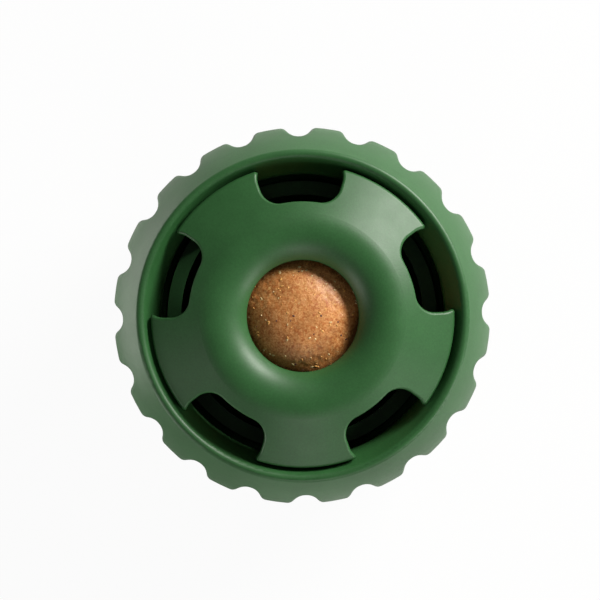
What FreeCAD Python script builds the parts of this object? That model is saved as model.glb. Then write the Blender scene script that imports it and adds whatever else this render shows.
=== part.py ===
"""Treat dispensing dog toy: a hollow rubber ball in two halves that screw together round a treat.

Millimetres, +Z up through the licking hole, origin at the centre of the foot that it stands on.
Names that end in _rise are heights above the middle of the tread.
"""

import FreeCAD, Part
import math
import os

from FreeCAD import Vector

UP = Vector(0, 0, 1)
CENTRE = Vector(0, 0, 0)

# Bore and seat of the base
neck_radius = 36.0
seat_depth = 7.52
seat_wall_deg = 60.0
seat_fillet = 4.0

# Rim and tread of the base
rim_inner_fillet = 1.4
rim_outer_fillet = 1.2
rim_rise = 24.15
tread_bulge = 6.82
lug_count = 20
lug_groove_depth = 2.45
lug_groove_floor = 4.65
lug_groove_flank_deg = 62.0
lug_groove_floor_fillet = 3.6
lug_edge_fillet = 2.0

# Bowl, underside and foot of the base
base_wall = 6.5
bowl_fillet = 8.0
underside_groove_depth = 3.0
underside_groove_fillet = 0.5
underside_edge_drop = 1.7
underside_edge_fillet = 5.0
foot_drop = 12.15
foot_radius = 24.5
foot_width = 7.5
foot_fillet = 7.75
dish_depth = 1.8
dish_bevel = 3.6
dish_fillet = 3.0

# Dome and funnel of the cap
dome_edge_gap = 2.75
dome_edge_drop = 0.9
dome_edge_fillet = 1.2
dome_slope_deg = 28.0
dome_wall = 6.0
dome_inner_fillet = 6.0
hole_radius = 14.15
funnel_width = 7.75
funnel_fillet = 9.3
funnel_deg = 55.0
funnel_neck_fillet = 1.5
lip_fillet = 0.8
lip_under_deg = 28.0

# Windows of the cap
window_count = 5
window_depth = 9.5
window_half_deg = 17.6
window_inner_corner_radius = 4.8
window_outer_corner_radius = 5.0
window_outer_overrun = 2.0
window_edge_fillet = 0.7
window_inner_edge_fillet = 0.8
window_floor_drop = 14.25

# Legs and threaded ring of the cap
seat_clearance = 0.3
skirt_wall = 3.5
skirt_ring_height = 14.0
skirt_end_fillet = 1.0

# Thread, right-handed, with ridges on both halves
thread_starts = 5
thread_lead = 50.0
thread_height = 1.35
thread_root_width = 3.4
thread_root_sink = 0.6
thread_flank_deg = 20.0
thread_crest_clearance = 0.35
thread_flank_clearance = 0.4
thread_end_margin = 0.25

# Treat and the fins that cradle it
treat_radius = 23.0
treat_lip_clearance = 1.5
cradle_clearance = 0.3
cradle_wrap_deg = 49.0
fin_count = 5
fin_thickness = 3.2
fin_inner_radius = 5.0
fin_top_width = 4.4

# One window, thread start and fin are centred on this direction, seen from above
first_deg = 90.0

# A point this near a curve lies on it, and a run this short is left out
on_curve = 1e-3
no_run = 1e-6


def polar(radius, degrees):
    angle = math.radians(degrees)
    return Vector(radius * math.cos(angle), radius * math.sin(angle), 0)


def edge(start, end):
    return Part.LineSegment(start, end).toShape()


def arc(start, middle, end):
    return Part.Arc(start, middle, end).toShape()


def rounded(corners):
    """Edges of an open outline through corners (point, fillet radius), ends left sharp.

    A fillet is made smaller where the sides beside it are too short for it.
    """
    points = [point for point, _ in corners]
    reach = [0.0]
    half_turn = [0.0]
    for before, (point, radius), after in zip(points, corners[1:-1], points[2:]):
        turn = (point - before).getAngle(after - point)
        half_turn.append(turn / 2)
        reach.append(radius * math.tan(turn / 2))
    reach.append(0.0)
    half_turn.append(0.0)
    sides = [(b - a).Length for a, b in zip(points, points[1:])]
    for i, side in enumerate(sides):
        if reach[i] + reach[i + 1] > side:
            share = side / (reach[i] + reach[i + 1])
            reach[i] *= share
            reach[i + 1] *= share
    edges = []
    last = points[0]
    for i in range(1, len(points)):
        back = (points[i - 1] - points[i]).normalize()
        start = points[i] + back * reach[i]
        if (start - last).Length > no_run:
            edges.append(edge(last, start))
        last = start
        if reach[i] > no_run:
            onward = (points[i + 1] - points[i]).normalize()
            end = points[i] + onward * reach[i]
            radius = reach[i] / math.tan(half_turn[i])
            to_centre = (back + onward).normalize()
            depth = radius / math.cos(half_turn[i]) - radius
            edges.append(arc(start, points[i] + to_centre * depth, end))
            last = end
    return edges


def seat_radius(rise, gap=0.0):
    """Radius of the flared seat at a height, or of a cone that lies inside it by a gap."""
    return neck_radius + (rise - seat_bottom_rise) * seat_run - gap / math.sin(
        math.radians(seat_wall_deg))


def seat_rise(radius, gap=0.0):
    """Height at which that cone has a radius."""
    return seat_bottom_rise + (radius - seat_radius(seat_bottom_rise, gap)) / seat_run


def dome_rise(radius):
    """Height of the dome's cone at a radius."""
    return dome_edge_rise + (dome_edge_radius - radius) * dome_slope


def stood(wall, slope):
    """Upright thickness of a wall that slopes."""
    return wall * math.hypot(1, slope)


def at(radius, rise):
    """Point of a turned outline, from its radius and its height above the middle of the tread."""
    return Vector(radius, 0, mid_height + rise)


def turned(edges):
    """Solid turned from an outline, with its seam under the middle of a lug and of a leg."""
    face = Part.Face(Part.Wire(Part.__sortEdges__(edges)))
    face.rotate(CENTRE, UP, 270 + 180 / lug_count)
    return face.revolve(CENTRE, UP, 360)


def roll(centre, radius, tilt_a, tilt_b):
    """Arc of a turned outline between two tilts of its outward normal from +Z, in degrees."""
    def on_roll(tilt):
        angle = math.radians(tilt)
        return centre + Vector(math.sin(angle), 0, math.cos(angle)) * radius
    return arc(on_roll(tilt_a), on_roll((tilt_a + tilt_b) / 2), on_roll(tilt_b))


# Rim and tread, worked out from the driving sizes

seat_run = 1 / math.tan(math.radians(seat_wall_deg))
rim_corner_radius = neck_radius + seat_depth * seat_run
rim_radius = rim_corner_radius + rim_inner_fillet * math.tan(math.radians(seat_wall_deg / 2))
rim_roll_rise = rim_rise - rim_outer_fillet
tread_radius = rim_radius + tread_bulge
tread_crown_radius = (tread_bulge ** 2 + rim_roll_rise ** 2 - rim_outer_fillet ** 2) / (
    2 * (tread_bulge - rim_outer_fillet))
tread_arc_centre = tread_radius - tread_crown_radius
shoulder_tilt = math.degrees(math.atan2(rim_radius - tread_arc_centre, rim_roll_rise))
mid_height = rim_rise + foot_drop
seat_bottom_rise = rim_rise - seat_depth

# Dome, funnel and treat

dome_slope = math.tan(math.radians(dome_slope_deg))
dome_edge_radius = rim_radius - dome_edge_gap
dome_edge_rise = rim_rise - dome_edge_drop
crest_radius = hole_radius + funnel_width
crest_corner_radius = crest_radius + funnel_fillet * math.sin(
    math.radians(dome_slope_deg - funnel_deg) / 2) / math.cos(
    math.radians(dome_slope_deg + funnel_deg) / 2)
crest_corner_rise = dome_rise(crest_corner_radius)
funnel_neck_rise = crest_corner_rise - (crest_corner_radius - hole_radius) * math.tan(
    math.radians(funnel_deg))
lip_top_rise = funnel_neck_rise - funnel_neck_fillet * math.tan(
    math.radians(90 - funnel_deg) / 2)
lip_rise = lip_top_rise - lip_fillet * math.tan(math.radians(90 + lip_under_deg) / 2)
treat_rise = lip_top_rise - math.sqrt(
    (treat_radius + treat_lip_clearance + lip_fillet) ** 2 - (hole_radius + lip_fillet) ** 2)

# Thread and threaded ring

thread_core_radius = neck_radius - thread_height - thread_crest_clearance
thread_taper = math.tan(math.radians(thread_flank_deg))
thread_shift = (thread_root_width - (neck_radius - thread_core_radius) * thread_taper
                + thread_flank_clearance) / 2
thread_ridge_rise = skirt_ring_height - thread_root_width - 2 * (thread_shift + thread_end_margin)
thread_ridge_deg = 360 * thread_ridge_rise / thread_lead
skirt_inner_radius = thread_core_radius - skirt_wall
window_floor_rise = seat_bottom_rise - window_floor_drop
skirt_bottom_rise = window_floor_rise - skirt_ring_height


def lens():
    """Outer half of the tread's section, from the upper rim round the tread to the lower rim."""
    upper = at(rim_radius, rim_roll_rise)
    lower = at(rim_radius, -rim_roll_rise)
    middle = at(tread_arc_centre, 0)
    return [
        roll(upper, rim_outer_fillet, 0, shoulder_tilt),
        roll(middle, tread_crown_radius, shoulder_tilt, 180 - shoulder_tilt),
        roll(lower, rim_outer_fillet, 180 - shoulder_tilt, 180),
    ]


def base_body():
    """Tread, seat, neck, bowl and foot, turned in one piece."""
    foot_rise = -mid_height
    floor_rise = foot_rise + base_wall
    foot_inner_radius = foot_radius - foot_width
    groove_bottom = underside_groove_depth - rim_rise
    groove_outer = rim_corner_radius - underside_groove_depth * seat_run
    edge_rise = -rim_rise - underside_edge_drop
    cone_slope = (edge_rise - foot_rise) / (dome_edge_radius - foot_radius)
    neck_corner = (stood(base_wall, cone_slope) + edge_rise
                   - (dome_edge_radius - neck_radius) * cone_slope)
    floor_corner = neck_radius - (neck_corner - floor_rise) / cone_slope
    outline = rounded([
        (at(rim_radius, -rim_rise), 0),
        (at(rim_corner_radius, -rim_rise), rim_inner_fillet),
        (at(groove_outer, groove_bottom), underside_groove_fillet),
        (at(dome_edge_radius, groove_bottom), underside_groove_fillet),
        (at(dome_edge_radius, edge_rise), underside_edge_fillet),
        (at(foot_radius, foot_rise), foot_fillet),
        (at(foot_inner_radius, foot_rise), dish_fillet),
        (at(foot_inner_radius - dish_bevel, foot_rise + dish_depth), dish_fillet),
        (at(0, foot_rise + dish_depth), 0),
        (at(0, floor_rise), 0),
        (at(floor_corner, floor_rise), bowl_fillet),
        (at(neck_radius, neck_corner), bowl_fillet),
        (at(neck_radius, seat_bottom_rise), seat_fillet),
        (at(rim_corner_radius, rim_rise), rim_inner_fillet),
        (at(rim_radius, rim_rise), 0),
    ])
    return turned(lens() + outline)


def groove_plan(angle):
    """Plan of one tread groove, open outwards past the lugs by as much as it is deep."""
    run = 2 * lug_groove_depth / math.tan(math.radians(lug_groove_flank_deg))
    half = lug_groove_floor / 2
    floor_x = tread_radius - lug_groove_depth
    mouth_x = tread_radius + lug_groove_depth
    corners = [
        (Vector(mouth_x, -half - run, 0), 0),
        (Vector(floor_x, -half, 0), lug_groove_floor_fillet),
        (Vector(floor_x, half, 0), lug_groove_floor_fillet),
        (Vector(mouth_x, half + run, 0), 0),
    ]
    edges = rounded(corners)
    edges.append(edge(corners[-1][0], corners[0][0]))
    plan = Part.Wire(edges)
    plan.rotate(CENTRE, UP, angle)
    return plan


def prism(plan, bottom, top):
    """Upright prism over a plan wire, between two heights above the middle of the tread."""
    face = Part.Face(plan)
    face.translate(at(0, bottom))
    return face.extrude(UP * (top - bottom))


def edges_on(solid, plans, profile, above):
    """Edges above a height that lie on an upright wall over a plan and on a turned surface."""
    found = []
    for candidate in solid.Edges:
        middle = candidate.valueAt((candidate.FirstParameter + candidate.LastParameter) / 2)
        on_profile = Part.Vertex(math.hypot(middle.x, middle.y), 0, middle.z)
        on_plan = Part.Vertex(middle.x, middle.y, 0)
        if middle.z < mid_height + above or profile.distToShape(on_profile)[0] > on_curve:
            continue
        if min(plan.distToShape(on_plan)[0] for plan in plans) < on_curve:
            found.append(candidate)
    return found


def window_plan(angle):
    """Plan of one window: a sector with round corners that just reaches past the dome's edge."""
    inner = dome_edge_radius - window_depth
    outer = dome_edge_radius + window_outer_overrun

    def corner(radius, centre_radius, sign):
        fillet = abs(centre_radius - radius)
        inset = math.asin(fillet / centre_radius)
        turn_deg = sign * (window_half_deg - math.degrees(inset))
        centre = polar(centre_radius, turn_deg)
        start = polar(radius, turn_deg)
        end = polar(centre_radius * math.cos(inset), sign * window_half_deg)
        outward = ((start - centre) + (end - centre)).normalize()
        return start, centre + outward * fillet, end

    inner_corners = [corner(inner, inner + window_inner_corner_radius, sign) for sign in (-1, 1)]
    outer_corners = [corner(outer, outer - window_outer_corner_radius, sign) for sign in (-1, 1)]
    edges = [arc(*points) for points in inner_corners + outer_corners]
    for radius, (low, high) in ((inner, inner_corners), (outer, outer_corners)):
        edges.append(arc(low[0], polar(radius, 0), high[0]))
    for near, far in zip(inner_corners, outer_corners):
        edges.append(edge(near[2], far[2]))
    plan = Part.Wire(Part.__sortEdges__(edges))
    plan.rotate(CENTRE, UP, angle)
    return plan


def thread_ridge(root_radius, tip_radius, middle_rise, angle):
    """One helical ridge that grows from a root radius to a tip radius."""
    sunk_radius = root_radius + math.copysign(thread_root_sink, root_radius - tip_radius)
    root_half = thread_root_width / 2
    tip_half = root_half - abs(root_radius - tip_radius) * thread_taper
    corners = [
        Vector(sunk_radius, 0, -root_half),
        Vector(root_radius, 0, -root_half),
        Vector(tip_radius, 0, -tip_half),
        Vector(tip_radius, 0, tip_half),
        Vector(root_radius, 0, root_half),
        Vector(sunk_radius, 0, root_half),
    ]
    section = Part.makePolygon(corners + corners[:1])
    path = Part.makeHelix(thread_lead, thread_ridge_rise, (root_radius + tip_radius) / 2)
    ridge = Part.Wire(path.Edges).makePipeShell([section], True, True)
    ridge.rotate(CENTRE, UP, angle - thread_ridge_deg / 2)
    ridge.translate(at(0, middle_rise - thread_ridge_rise / 2))
    return ridge


def thread_ridges(root_radius, tip_radius, shift):
    """Ridges of every start, set up or down from the middle of the threaded ring."""
    middle_rise = (window_floor_rise + skirt_bottom_rise) / 2 + shift
    return [
        thread_ridge(root_radius, tip_radius, middle_rise, first_deg + 360 / thread_starts * k)
        for k in range(thread_starts)
    ]


def cradle_fins():
    """Upright fins that stand on the bowl's floor and cup the treat from below."""
    cup_radius = treat_radius + cradle_clearance
    cup = Part.makeSphere(cup_radius, at(0, treat_rise))
    wrap = math.radians(cradle_wrap_deg)
    top = mid_height + treat_rise - cup_radius * math.cos(wrap)
    bottom = base_wall / 2
    length = cup_radius * math.sin(wrap) + fin_top_width - fin_inner_radius
    corner = Vector(fin_inner_radius, -fin_thickness / 2, bottom)
    fins = []
    for k in range(fin_count):
        fin = Part.makeBox(length, fin_thickness, top - bottom, corner)
        fin.rotate(CENTRE, UP, first_deg + 360 / fin_count * k)
        fins.append(fin.cut(cup))
    return fins


def tread_base():
    """Lower half: tread, seat, bowl and foot, with its thread and its cradle for the treat."""
    plans = [groove_plan(360 / lug_count * k) for k in range(lug_count)]
    body = base_body().cut([prism(plan, -rim_rise, rim_rise) for plan in plans])
    lug_edges = edges_on(body, plans, Part.Wire(lens()), -rim_rise)
    body = body.makeFillet(lug_edge_fillet, lug_edges)
    ridges = thread_ridges(neck_radius, neck_radius - thread_height, thread_shift)
    return body.fuse(ridges + cradle_fins())


def cap_outside():
    """Outer side of the cap's section, from the ring's lower end up to the lip of the hole."""
    return rounded([
        (at(skirt_inner_radius, skirt_bottom_rise), 0),
        (at(thread_core_radius, skirt_bottom_rise), skirt_end_fillet),
        (at(thread_core_radius, seat_rise(thread_core_radius, seat_clearance)), 0),
        (at(dome_edge_radius, seat_rise(dome_edge_radius, seat_clearance)), 0),
        (at(dome_edge_radius, dome_edge_rise), dome_edge_fillet),
        (at(crest_corner_radius, crest_corner_rise), funnel_fillet),
        (at(hole_radius, funnel_neck_rise), funnel_neck_fillet),
        (at(hole_radius, lip_top_rise), 0),
    ])


def cap_inside():
    """Inner side of the cap's section, from the lip of the hole down to the ring's lower end."""
    wall = stood(dome_wall, dome_slope)
    lip_slope = math.tan(math.radians(lip_under_deg))
    crown_width = (dome_rise(hole_radius) - wall - lip_rise) / (dome_slope + lip_slope)
    wall_rise = dome_rise(skirt_inner_radius) - wall
    return rounded([
        (at(hole_radius, lip_top_rise), 0),
        (at(hole_radius, lip_rise), lip_fillet),
        (at(hole_radius + crown_width, lip_rise + crown_width * lip_slope), dome_inner_fillet),
        (at(skirt_inner_radius, wall_rise), dome_inner_fillet),
        (at(skirt_inner_radius, skirt_bottom_rise), 0),
    ])


def licking_cap():
    """Upper half: funnel, dome, legs between the windows, and the threaded ring."""
    outside = cap_outside()
    inside = cap_inside()
    plans = [window_plan(first_deg + 360 / window_count * k) for k in range(window_count)]
    body = turned(outside + inside)
    body = body.cut([prism(plan, window_floor_rise, crest_corner_rise) for plan in plans])
    dome_bottom = seat_rise(dome_edge_radius, seat_clearance)
    body = body.makeFillet(
        window_edge_fillet, edges_on(body, plans, Part.Wire(outside), dome_bottom))
    body = body.makeFillet(
        window_inner_edge_fillet, edges_on(body, plans, Part.Wire(inside), skirt_bottom_rise))
    tip_radius = thread_core_radius + thread_height
    return body.fuse(thread_ridges(thread_core_radius, tip_radius, -thread_shift))


def treat_ball():
    """Round treat that lies loose between the cradle and the lip of the licking hole."""
    return Part.makeSphere(treat_radius, at(0, treat_rise))


os.makedirs("parts", exist_ok=True)
for make_node in (tread_base, licking_cap, treat_ball):
    make_node().exportStep(f"parts/{make_node.__name__}.step")
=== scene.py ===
"""Looks of the treat dispensing dog toy: soft green rubber, a baked treat, floor, light and camera."""

import math
import random

import bmesh
import bpy
from mathutils import Matrix, Quaternion, Vector, noise


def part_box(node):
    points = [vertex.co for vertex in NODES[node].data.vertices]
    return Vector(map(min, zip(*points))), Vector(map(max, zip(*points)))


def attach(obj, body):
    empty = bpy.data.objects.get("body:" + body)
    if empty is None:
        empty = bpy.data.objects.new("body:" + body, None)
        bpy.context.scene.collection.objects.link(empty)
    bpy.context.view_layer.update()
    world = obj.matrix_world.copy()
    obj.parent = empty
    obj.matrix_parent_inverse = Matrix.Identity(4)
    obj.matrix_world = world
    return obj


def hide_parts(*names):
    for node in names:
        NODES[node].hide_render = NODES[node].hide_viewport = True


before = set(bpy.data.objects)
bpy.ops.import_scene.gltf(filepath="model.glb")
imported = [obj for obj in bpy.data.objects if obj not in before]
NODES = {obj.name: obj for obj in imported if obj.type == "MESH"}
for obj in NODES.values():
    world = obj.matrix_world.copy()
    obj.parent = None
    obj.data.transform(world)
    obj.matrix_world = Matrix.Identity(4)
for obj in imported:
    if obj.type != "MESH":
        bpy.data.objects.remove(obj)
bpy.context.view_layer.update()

MM = 0.001
RUBBER_NODES = ("tread_base", "licking_cap")

# The photograph is 600 pixels square and looks almost straight down the ball's axis
IMAGE_PIXELS = 600
PIXEL = 0.2551 * MM
TREAD_CENTRE_PX = (302.05, 315.40)
TREAD_MIDDLE = Vector((0, 0, 36.3 * MM))
CAMERA_DISTANCE = 2.46
CAMERA_AZIMUTH_DEG = 148
CAMERA_ELEVATION_DEG = 89.56
CAMERA_ROLL_DEG = 1.15
SENSOR_WIDTH = 36.0

# Floor and world. The camera sees the floor as white, but for a share that the lamps light and shade
FLOOR_RADIUS = 4.0
FLOOR_CORNERS = 96
FLOOR_COLOUR = (0.85, 0.85, 0.84, 1)
FLOOR_SHADOW = 0.05
WORLD_LIGHT = 0.08

# Lamps round the toy: name, azimuth and elevation in degrees, width and height in metres, watts
LAMP_COLOUR = (1.0, 0.985, 0.94)
LAMP_DISTANCE = 0.9
LAMPS = [
    ("key", 43, 26.5, (0.45, 0.15), 12.0),
    ("low_left", 210, 3, (0.35, 0.35), 2.5),
    ("right", 324, 15, (0.35, 0.35), 2.75),
    ("front", 272, 28, (0.35, 0.35), 1.55),
]
TABLE_LAMP_PLACE = (-0.166, 0.038, 0.004)
TABLE_LAMP_SIZE = (0.16, 0.16)
TABLE_LAMP_WATTS = 0.155

# Rubber: length of each pattern's lumps, and strength and depth of each relief
RUBBER_DARK = (0.0265, 0.112, 0.030)
RUBBER_LIGHT = (0.0315, 0.128, 0.0355)
RUBBER_ROUGHNESS = (0.44, 0.47)
MOTTLE_LENGTH = 9 * MM
POLISH_LENGTH = 3 * MM
SPECKLE_LENGTH = 0.5 * MM
MOULD_GRAIN_LENGTH = 0.35 * MM
MOULD_GRAIN = (0.35, 0.03 * MM)
WAVE_LENGTH = 6 * MM
WAVES = (0.3, 0.04 * MM)

# Treat: finish of its dough
CRUST_DARK = (0.575, 0.235, 0.065)
CRUST_LIGHT = (0.77, 0.330, 0.099)
DOUGH_ROUGHNESS = (0.40, 0.58)
DOUGH_GLOSS = 0.6
CRUST_LENGTH = 5 * MM
MEAL_LENGTH = 0.55 * MM
CRUMB_LENGTH = 0.4 * MM
DOUGH_POLISH_LENGTH = 1 * MM
DOUGH_RELIEF_LENGTH = 0.6 * MM
DOUGH_RELIEF = (0.8, 0.12 * MM)

# Treat: form of its skin, all of which stays inside the solid's ball
TREAT_DETAIL = 7
SWELL = 0.25 * MM
SWELL_LENGTH = 9 * MM
PITTING = 0.12 * MM
PITTING_LENGTH = 1.6 * MM

# Grains set in the skin: name, colour, how many and their least and largest size
GRAINS = [
    ("pale_grain", (0.98, 0.74, 0.36), 420, (0.12 * MM, 0.42 * MM)),
    ("orange_grain", (0.95, 0.48, 0.13), 520, (0.12 * MM, 0.36 * MM)),
    ("dark_speck", (0.14, 0.045, 0.030), 130, (0.12 * MM, 0.34 * MM)),
]
GRAIN_SEED = 7
GRAIN_DETAIL = 2
GRAIN_LENGTHS = (0.8, 1.5)
GRAIN_WIDTHS = (0.6, 1.0)
GRAIN_HEIGHTS = (0.35, 0.6)
GRAIN_SINK = 0.1
GRAIN_LUMPS = 0.25
GRAIN_VARIETY = 50
GRAIN_SHADE = 0.6
GRAIN_TONE_LENGTH = 0.5 * MM
GRAIN_ROUGHNESS = 0.45


def direction(azimuth, elevation):
    """Direction from the toy, in degrees. Azimuth 0 is +X, 90 is +Y."""
    turn, lift = math.radians(azimuth), math.radians(elevation)
    return Vector((math.cos(turn) * math.cos(lift), math.sin(turn) * math.cos(lift), math.sin(lift)))


def new_material(name):
    """Material with an empty node tree, and its output node."""
    material = bpy.data.materials.new(name)
    material.use_nodes = True
    material.node_tree.nodes.clear()
    return material, material.node_tree.nodes.new("ShaderNodeOutputMaterial")


def add_node(material, kind, **settings):
    """Node of a material's tree, with its properties set."""
    node = material.node_tree.nodes.new(kind)
    for name, value in settings.items():
        setattr(node, name, value)
    return node


def link(material, source, target):
    """Link from an output to an input of a material's tree."""
    material.node_tree.links.new(source, target)


def object_noise(material, length, detail=2.0, roughness=0.5):
    """Noise over the surface whose lumps are about a given length across."""
    place = add_node(material, "ShaderNodeTexCoord")
    texture = add_node(material, "ShaderNodeTexNoise")
    texture.inputs["Scale"].default_value = 1 / length
    texture.inputs["Detail"].default_value = detail
    texture.inputs["Roughness"].default_value = roughness
    link(material, place.outputs["Object"], texture.inputs["Vector"])
    return texture.outputs["Fac"]


def object_cells(material, length):
    """Cells over the surface about a given length across, each of a random colour."""
    place = add_node(material, "ShaderNodeTexCoord")
    texture = add_node(material, "ShaderNodeTexVoronoi")
    texture.inputs["Scale"].default_value = 1 / length
    link(material, place.outputs["Object"], texture.inputs["Vector"])
    return texture.outputs["Color"]


def ramp(material, source, stops):
    """Colour ramp over a value, from (position, colour) stops."""
    node = add_node(material, "ShaderNodeValToRGB")
    elements = node.color_ramp.elements
    while len(elements) < len(stops):
        elements.new(0.5)
    for element, (position, colour) in zip(elements, stops):
        element.position = position
        element.color = (*colour, 1)
    link(material, source, node.inputs["Fac"])
    return node.outputs["Color"]


def span(material, source, low, high):
    """Value mapped from the middle half of a noise to a low and a high."""
    node = add_node(material, "ShaderNodeMapRange")
    node.inputs["From Min"].default_value = 0.25
    node.inputs["From Max"].default_value = 0.75
    node.inputs["To Min"].default_value = low
    node.inputs["To Max"].default_value = high
    link(material, source, node.inputs["Value"])
    return node.outputs["Result"]


def multiply(material, first, second):
    """Product of two colours."""
    node = add_node(material, "ShaderNodeMix", data_type="RGBA", blend_type="MULTIPLY")
    node.inputs["Factor"].default_value = 1.0
    link(material, first, node.inputs["A"])
    link(material, second, node.inputs["B"])
    return node.outputs["Result"]


def relief(material, heights, strength, depth):
    """Bump node that raises the surface by heights, with a strength and a depth."""
    bump = add_node(material, "ShaderNodeBump")
    bump.inputs["Strength"].default_value = strength
    bump.inputs["Distance"].default_value = depth
    link(material, heights, bump.inputs["Height"])
    return bump


def green_rubber():
    """Moulded rubber: satin green, faintly mottled, with a fine grain and slow waves in its skin."""
    material, output = new_material("green_rubber")
    shader = add_node(material, "ShaderNodeBsdfPrincipled")
    mottle = ramp(material, object_noise(material, MOTTLE_LENGTH), [
        (0.3, RUBBER_DARK),
        (0.7, RUBBER_LIGHT),
    ])
    speckle = ramp(material, object_noise(material, SPECKLE_LENGTH, 3.0), [
        (0.3, (0.84, 0.84, 0.84)),
        (0.7, (1.03, 1.03, 1.03)),
    ])
    link(material, multiply(material, mottle, speckle), shader.inputs["Base Color"])
    polish = span(material, object_noise(material, POLISH_LENGTH), *RUBBER_ROUGHNESS)
    link(material, polish, shader.inputs["Roughness"])
    grain = relief(material, object_noise(material, MOULD_GRAIN_LENGTH, 3.0), *MOULD_GRAIN)
    waves = relief(material, object_noise(material, WAVE_LENGTH, 1.0), *WAVES)
    link(material, grain.outputs["Normal"], waves.inputs["Normal"])
    link(material, waves.outputs["Normal"], shader.inputs["Normal"])
    link(material, shader.outputs["BSDF"], output.inputs["Surface"])
    return material


def baked_dough():
    """Brown dough: a crust in slow tones, coarse meal of many colours and fine crumb."""
    material, output = new_material("baked_dough")
    shader = add_node(material, "ShaderNodeBsdfPrincipled")
    crust = ramp(material, object_noise(material, CRUST_LENGTH, 3.0), [
        (0.3, CRUST_DARK),
        (0.7, CRUST_LIGHT),
    ])
    meal = ramp(material, object_cells(material, MEAL_LENGTH), [
        (0.0, (0.72, 0.48, 0.30)),
        (0.45, (0.95, 0.94, 0.92)),
        (0.85, (1.05, 1.15, 1.3)),
        (1.0, (1.2, 1.6, 1.9)),
    ])
    crumb = ramp(material, object_noise(material, CRUMB_LENGTH, 4.0), [
        (0.35, (0.76, 0.62, 0.46)),
        (0.6, (1.04, 1.09, 1.20)),
    ])
    body = multiply(material, multiply(material, crust, meal), crumb)
    link(material, body, shader.inputs["Base Color"])
    polish = span(material, object_noise(material, DOUGH_POLISH_LENGTH), *DOUGH_ROUGHNESS)
    link(material, polish, shader.inputs["Roughness"])
    shader.inputs["Specular IOR Level"].default_value = DOUGH_GLOSS
    bump = relief(material, object_noise(material, DOUGH_RELIEF_LENGTH, 4.0, 0.65), *DOUGH_RELIEF)
    link(material, bump.outputs["Normal"], shader.inputs["Normal"])
    link(material, shader.outputs["BSDF"], output.inputs["Surface"])
    return material


def grain_finish(name, colour):
    """Finish of one kind of grain or speck that sits in the dough."""
    material, output = new_material(name)
    shader = add_node(material, "ShaderNodeBsdfPrincipled")
    dark = tuple(GRAIN_SHADE * channel for channel in colour)
    tone = ramp(material, object_noise(material, GRAIN_TONE_LENGTH), [(0.35, dark), (0.6, colour)])
    link(material, tone, shader.inputs["Base Color"])
    shader.inputs["Roughness"].default_value = GRAIN_ROUGHNESS
    link(material, shader.outputs["BSDF"], output.inputs["Surface"])
    return material


def dough_height(point):
    """Height of the treat's skin at a point, from slow swells and pits, and always below the ball."""
    swell = noise.noise(point / SWELL_LENGTH) * SWELL
    pits = noise.fractal(point / PITTING_LENGTH, 0.6, 2.0, 4) * PITTING
    return min(swell + pits, 0.5 * PITTING) - PITTING


def ball(detail, radius):
    """Points and triangles of an icosphere."""
    bm = bmesh.new()
    bmesh.ops.create_icosphere(bm, subdivisions=detail, radius=radius)
    points = [vert.co.copy() for vert in bm.verts]
    faces = [[vert.index for vert in face.verts] for face in bm.faces]
    bm.free()
    return points, faces


def random_direction(draw):
    """Direction drawn evenly over the whole sphere."""
    height = draw.uniform(-1, 1)
    turn = draw.uniform(0, 2 * math.pi)
    flat = math.sqrt(1 - height * height)
    return Vector((flat * math.cos(turn), flat * math.sin(turn), height))


def grain_points(lump, radius, draw, sizes):
    """Points of one grain, a flattened lump more than half of which is sunk in the dough."""
    outward = random_direction(draw)
    skin = radius + dough_height(outward * radius)
    size = draw.uniform(*sizes)
    stretch = Vector([draw.uniform(*sides) for sides in (GRAIN_LENGTHS, GRAIN_WIDTHS, GRAIN_HEIGHTS)]) * size
    turn = outward.to_track_quat("Z", "Y") @ Quaternion((0, 0, 1), draw.uniform(0, math.pi))
    seat = outward * (skin - GRAIN_SINK * size)
    points = []
    for point in lump:
        bulge = 1 + GRAIN_LUMPS * noise.noise(point + outward * GRAIN_VARIETY)
        points.append(seat + turn @ (point * stretch * bulge))
    return points


def treat():
    """The treat: a ball of coarse dough with grains and specks set in its skin."""
    low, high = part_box("treat_ball")
    centre = (low + high) / 2
    radius = (high.z - low.z) / 2
    draw = random.Random(GRAIN_SEED)
    skin, faces = ball(TREAT_DETAIL, radius)
    points = [point + point.normalized() * dough_height(point) for point in skin]
    slots = [0] * len(faces)
    lump, lump_faces = ball(GRAIN_DETAIL, 1)
    for slot, (_, _, count, sizes) in enumerate(GRAINS, 1):
        for _ in range(count):
            first = len(points)
            points += grain_points(lump, radius, draw, sizes)
            faces += [[first + index for index in face] for face in lump_faces]
            slots += [slot] * len(lump_faces)
    mesh = bpy.data.meshes.new("treat")
    mesh.from_pydata([point + centre for point in points], [], faces)
    mesh.polygons.foreach_set("material_index", slots)
    mesh.polygons.foreach_set("use_smooth", [True] * len(faces))
    mesh.materials.append(baked_dough())
    for name, colour, _, _ in GRAINS:
        mesh.materials.append(grain_finish(name, colour))
    piece = bpy.data.objects.new("treat", mesh)
    bpy.context.scene.collection.objects.link(piece)
    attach(piece, "treat")
    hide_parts("treat_ball")


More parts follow.
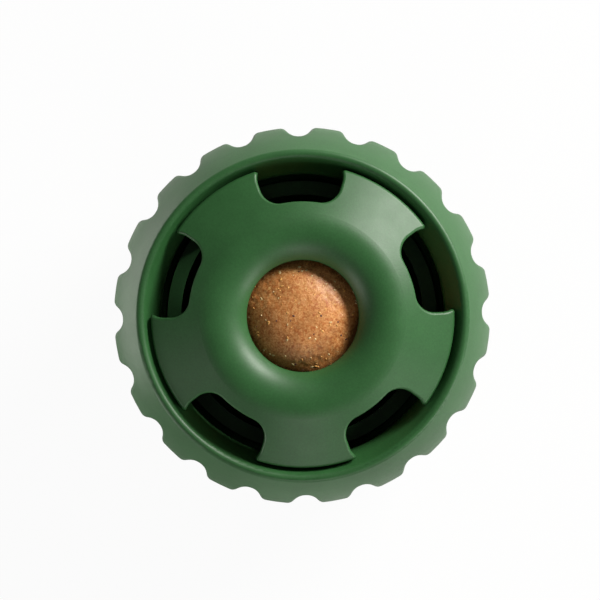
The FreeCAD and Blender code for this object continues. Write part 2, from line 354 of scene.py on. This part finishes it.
def floor_finish():
    """Matt floor that the camera sees as white, but for the share that keeps the toy's shadow."""
    material, output = new_material("pale_floor")
    material.cycles.emission_sampling = "NONE"
    matt = add_node(material, "ShaderNodeBsdfDiffuse")
    matt.inputs["Color"].default_value = FLOOR_COLOUR
    white = add_node(material, "ShaderNodeEmission")
    rays = add_node(material, "ShaderNodeLightPath")
    shown = add_node(material, "ShaderNodeMath", operation="MULTIPLY")
    shown.inputs[1].default_value = 1 - FLOOR_SHADOW
    link(material, rays.outputs["Is Camera Ray"], shown.inputs[0])
    choice = add_node(material, "ShaderNodeMixShader")
    link(material, shown.outputs["Value"], choice.inputs["Fac"])
    link(material, matt.outputs["BSDF"], choice.inputs[1])
    link(material, white.outputs["Emission"], choice.inputs[2])
    link(material, choice.outputs["Shader"], output.inputs["Surface"])
    return material


def pale_floor():
    """Wide round floor that the toy stands on."""
    bm = bmesh.new()
    bmesh.ops.create_circle(bm, cap_ends=True, segments=FLOOR_CORNERS, radius=FLOOR_RADIUS)
    mesh = bpy.data.meshes.new("floor")
    bm.to_mesh(mesh)
    bm.free()
    mesh.materials.append(floor_finish())
    floor = bpy.data.objects.new("floor", mesh)
    bpy.context.scene.collection.objects.link(floor)


def surroundings():
    """World that shows white behind the floor and gives a weak even light."""
    world = bpy.data.worlds.new("studio")
    world.use_nodes = True
    tree = world.node_tree
    tree.nodes.clear()
    output = tree.nodes.new("ShaderNodeOutputWorld")
    rays = tree.nodes.new("ShaderNodeLightPath")
    even = tree.nodes.new("ShaderNodeBackground")
    even.inputs["Strength"].default_value = WORLD_LIGHT
    white = tree.nodes.new("ShaderNodeBackground")
    choice = tree.nodes.new("ShaderNodeMixShader")
    for background in (even, white):
        background.inputs["Color"].default_value = (1, 1, 1, 1)
    tree.links.new(rays.outputs["Is Camera Ray"], choice.inputs["Fac"])
    tree.links.new(even.outputs["Background"], choice.inputs[1])
    tree.links.new(white.outputs["Background"], choice.inputs[2])
    tree.links.new(choice.outputs["Shader"], output.inputs["Surface"])
    bpy.context.scene.world = world


def softbox(name, place, away, size, watts):
    """Lamp of a width and a height that stands at a place and shines against a direction."""
    light = bpy.data.lights.new(name, "AREA")
    light.shape = "RECTANGLE"
    light.size, light.size_y = size
    light.color = LAMP_COLOUR
    light.energy = watts
    lamp = bpy.data.objects.new(name, light)
    lamp.location = place
    lamp.rotation_mode = "QUATERNION"
    lamp.rotation_quaternion = away.to_track_quat("Z", "Y")
    lamp.visible_camera = False
    bpy.context.scene.collection.objects.link(lamp)


def lamps():
    """Softboxes round the toy, none of them below the floor, and a faint one flat on the table.

    The one on the table stands for the bright surface that lights the toy's left shoulder.
    """
    for name, azimuth, elevation, size, watts in LAMPS:
        away = direction(azimuth, elevation)
        place = TREAD_MIDDLE + away * LAMP_DISTANCE
        place.z = max(place.z, size[1] / 2)
        softbox(name, place, away, size, watts)
    softbox("table", TABLE_LAMP_PLACE, direction(0, -90), TABLE_LAMP_SIZE, TABLE_LAMP_WATTS)


def camera():
    """Camera almost straight above, placed and rolled so that the toy lies as it does in the photograph."""
    away = direction(CAMERA_AZIMUTH_DEG, CAMERA_ELEVATION_DEG)
    right = direction(-CAMERA_ROLL_DEG, 0)
    right = (right - away * right.dot(away)).normalized()
    up = away.cross(right)
    shift_right = (IMAGE_PIXELS / 2 - TREAD_CENTRE_PX[0]) * PIXEL
    shift_up = (TREAD_CENTRE_PX[1] - IMAGE_PIXELS / 2) * PIXEL
    data = bpy.data.cameras.new("camera")
    data.sensor_width = SENSOR_WIDTH
    data.lens = SENSOR_WIDTH * CAMERA_DISTANCE / (IMAGE_PIXELS * PIXEL)
    view = bpy.data.objects.new("camera", data)
    view.location = TREAD_MIDDLE + away * CAMERA_DISTANCE + right * shift_right + up * shift_up
    view.rotation_mode = "QUATERNION"
    view.rotation_quaternion = Matrix((right, up, away)).transposed().to_quaternion()
    bpy.context.scene.collection.objects.link(view)
    bpy.context.scene.camera = view


rubber = green_rubber()
for name in RUBBER_NODES:
    NODES[name].data.materials.clear()
    NODES[name].data.materials.append(rubber)
treat()
pale_floor()
surroundings()
lamps()
camera()

scene = bpy.context.scene
scene.view_settings.view_transform = "Standard"
